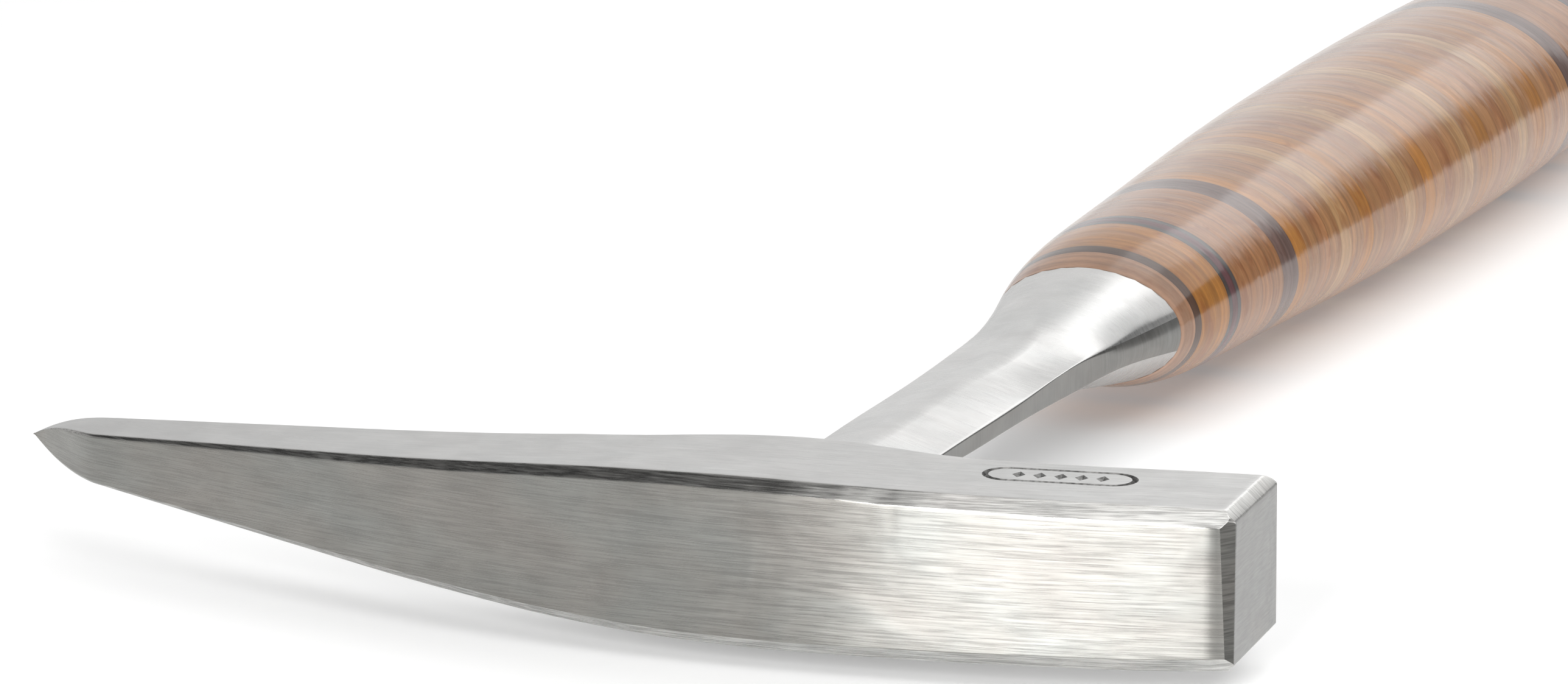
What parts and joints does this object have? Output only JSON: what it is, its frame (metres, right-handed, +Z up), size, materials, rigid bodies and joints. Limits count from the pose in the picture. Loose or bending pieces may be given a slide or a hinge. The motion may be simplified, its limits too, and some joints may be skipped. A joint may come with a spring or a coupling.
{
  "type": "geologist's hammer",
  "caption": "Geologist's rock hammer forged in one piece, with a pick, a square poll and a stacked-leather grip, lying on its side.",
  "frame": {"origin": "on the surface the hammer lies on, below the middle of its outline", "axes": "+Z up, away from the surface and square to the lower cheek side; +Y from the head to the butt along the handle; +X towards the striking face, -X towards the pick"},
  "size_m": [0.1788, 0.3374, 0.0283],
  "materials": {
    "forged_steel": "brushed along the length, edges rough ground",
    "cap_steel": "satin",
    "washer_steel": "satin",
    "ring_brown": "varnished fibre",
    "ring_plum": "varnished fibre",
    "ring_grey": "varnished fibre",
    "ring_umber": "varnished fibre",
    "leather_pink": "varnished, gloss",
    "leather_amber": "varnished, gloss",
    "leather_brown": "varnished, gloss",
    "leather_tan": "varnished, gloss",
    "leather_light": "varnished, gloss"
  },
  "bodies": {
    "root": {"butt_cap": "cap_steel", "butt_ring_brown": "ring_brown", "butt_ring_grey_inner": "ring_grey", "butt_ring_grey_outer": "ring_grey", "butt_ring_plum": "ring_plum", "butt_ring_umber_inner": "ring_umber", "butt_ring_umber_outer": "ring_umber", "collar_ring_brown": "ring_brown", "collar_ring_grey_inner": "ring_grey", "collar_ring_grey_outer": "ring_grey", "collar_ring_plum": "ring_plum", "collar_ring_umber_inner": "ring_umber", "collar_ring_umber_outer": "ring_umber", "forged_hammer": "forged_steel", "leather_disc_01": "leather_pink", "leather_disc_02": "leather_amber", "leather_disc_03": "leather_amber", "leather_disc_04": "leather_brown", "leather_disc_05": "leather_brown", "leather_disc_06": "leather_brown", "leather_disc_07": "leather_brown", "leather_disc_08": "leather_amber", "leather_disc_09": "leather_tan", "leather_disc_10": "leather_brown", "leather_disc_11": "leather_tan", "leather_disc_12": "leather_light", "leather_disc_13": "leather_tan", "leather_disc_14": "leather_amber", "leather_disc_15": "leather_tan", "leather_disc_16": "leather_brown", "leather_disc_17": "leather_tan", "leather_disc_18": "leather_light", "leather_disc_19": "leather_tan", "leather_disc_20": "leather_amber", "leather_disc_21": "leather_tan", "leather_disc_22": "leather_brown", "leather_disc_23": "leather_tan", "leather_disc_24": "leather_light", "leather_disc_25": "leather_tan", "leather_disc_26": "leather_amber", "leather_disc_27": "leather_tan", "leather_disc_28": "leather_brown", "leather_disc_29": "leather_tan", "leather_disc_30": "leather_light", "leather_disc_31": "leather_tan", "leather_disc_32": "leather_amber", "leather_disc_33": "leather_tan", "leather_disc_34": "leather_brown", "leather_disc_35": "leather_tan", "leather_disc_36": "leather_brown", "leather_disc_37": "leather_brown", "leather_disc_38": "leather_brown", "leather_disc_39": "leather_brown", "leather_disc_40": "leather_amber", "leather_disc_41": "leather_amber", "leather_disc_42": "leather_pink", "tang_washer": "washer_steel"}
  },
  "joints": []
}
